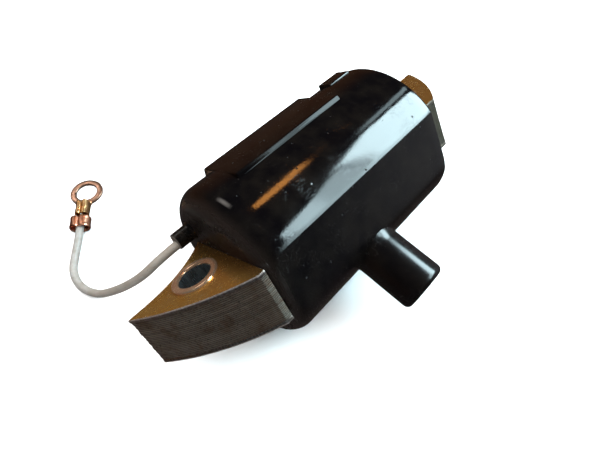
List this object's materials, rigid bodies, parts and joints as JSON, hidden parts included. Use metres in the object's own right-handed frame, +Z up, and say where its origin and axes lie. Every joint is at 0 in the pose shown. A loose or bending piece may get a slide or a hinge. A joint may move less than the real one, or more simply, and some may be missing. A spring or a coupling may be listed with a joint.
{
  "type": "ignition coil",
  "caption": "Flywheel magneto ignition coil: round potted case on a laminated core with two curved pole shoes, side HT socket and a short primary lead ending in a ring terminal",
  "frame": {"origin": "bottom centre of the coil without its lead: the middle of its length and width, on the bench it lies on", "axes": "+X along the case from the lead end to the closed rear end, +Y towards the side the lead leaves on, +Z up from the bench; the lamination planes lean 32.87 degrees towards -Y"},
  "size_m": [0.0924, 0.0881, 0.0343],
  "materials": {
    "case_plastic": "glossy black moulded phenolic, polished by handling",
    "potting_resin": "cast black epoxy, slightly uneven",
    "lamination_steel": "varnished electrical steel, brown-grey sheet edges",
    "zinc_chromate": "yellow passivated zinc plate",
    "eyelet_brass": "plated eyelet, dull pale brass",
    "bobbin_nylon": "natural nylon",
    "enamelled_copper": "enamelled copper wire, close wound",
    "fine_enamelled_copper": "fine enamelled copper wire, sectioned",
    "insulation_film": "varnished paper and polyester film",
    "contact_brass": "bright brass",
    "solder": "tin solder",
    "boss_plastic": "black moulded boss",
    "lead_insulation": "pale grey PVC insulation",
    "tinned_strand": "tinned copper strand",
    "terminal_copper": "bare copper sheet, dulled to orange brown"
  },
  "bodies": {
    "root": {"coil_case": "case_plastic", "potting_resin": "potting_resin", "front_core_laminations": "lamination_steel", "rear_core_laminations": "lamination_steel", "front_top_plate": "zinc_chromate", "front_bottom_plate": "zinc_chromate", "rear_top_plate": "zinc_chromate", "rear_bottom_plate": "zinc_chromate", "front_mounting_eyelet": "eyelet_brass", "rear_mounting_eyelet": "eyelet_brass", "primary_bobbin": "bobbin_nylon", "primary_winding": "enamelled_copper", "interwinding_insulation": "insulation_film", "secondary_bobbin": "bobbin_nylon", "secondary_windings": "fine_enamelled_copper", "outer_winding_wrap": "insulation_film", "ht_contact_pin": "contact_brass", "ht_link_strip": "contact_brass", "primary_ground_tab": "contact_brass", "lead_solder_joint": "solder", "lead_grommet": "boss_plastic", "primary_lead": "lead_insulation", "lead_conductor": "tinned_strand", "ring_terminal": "terminal_copper"}
  },
  "joints": []
}
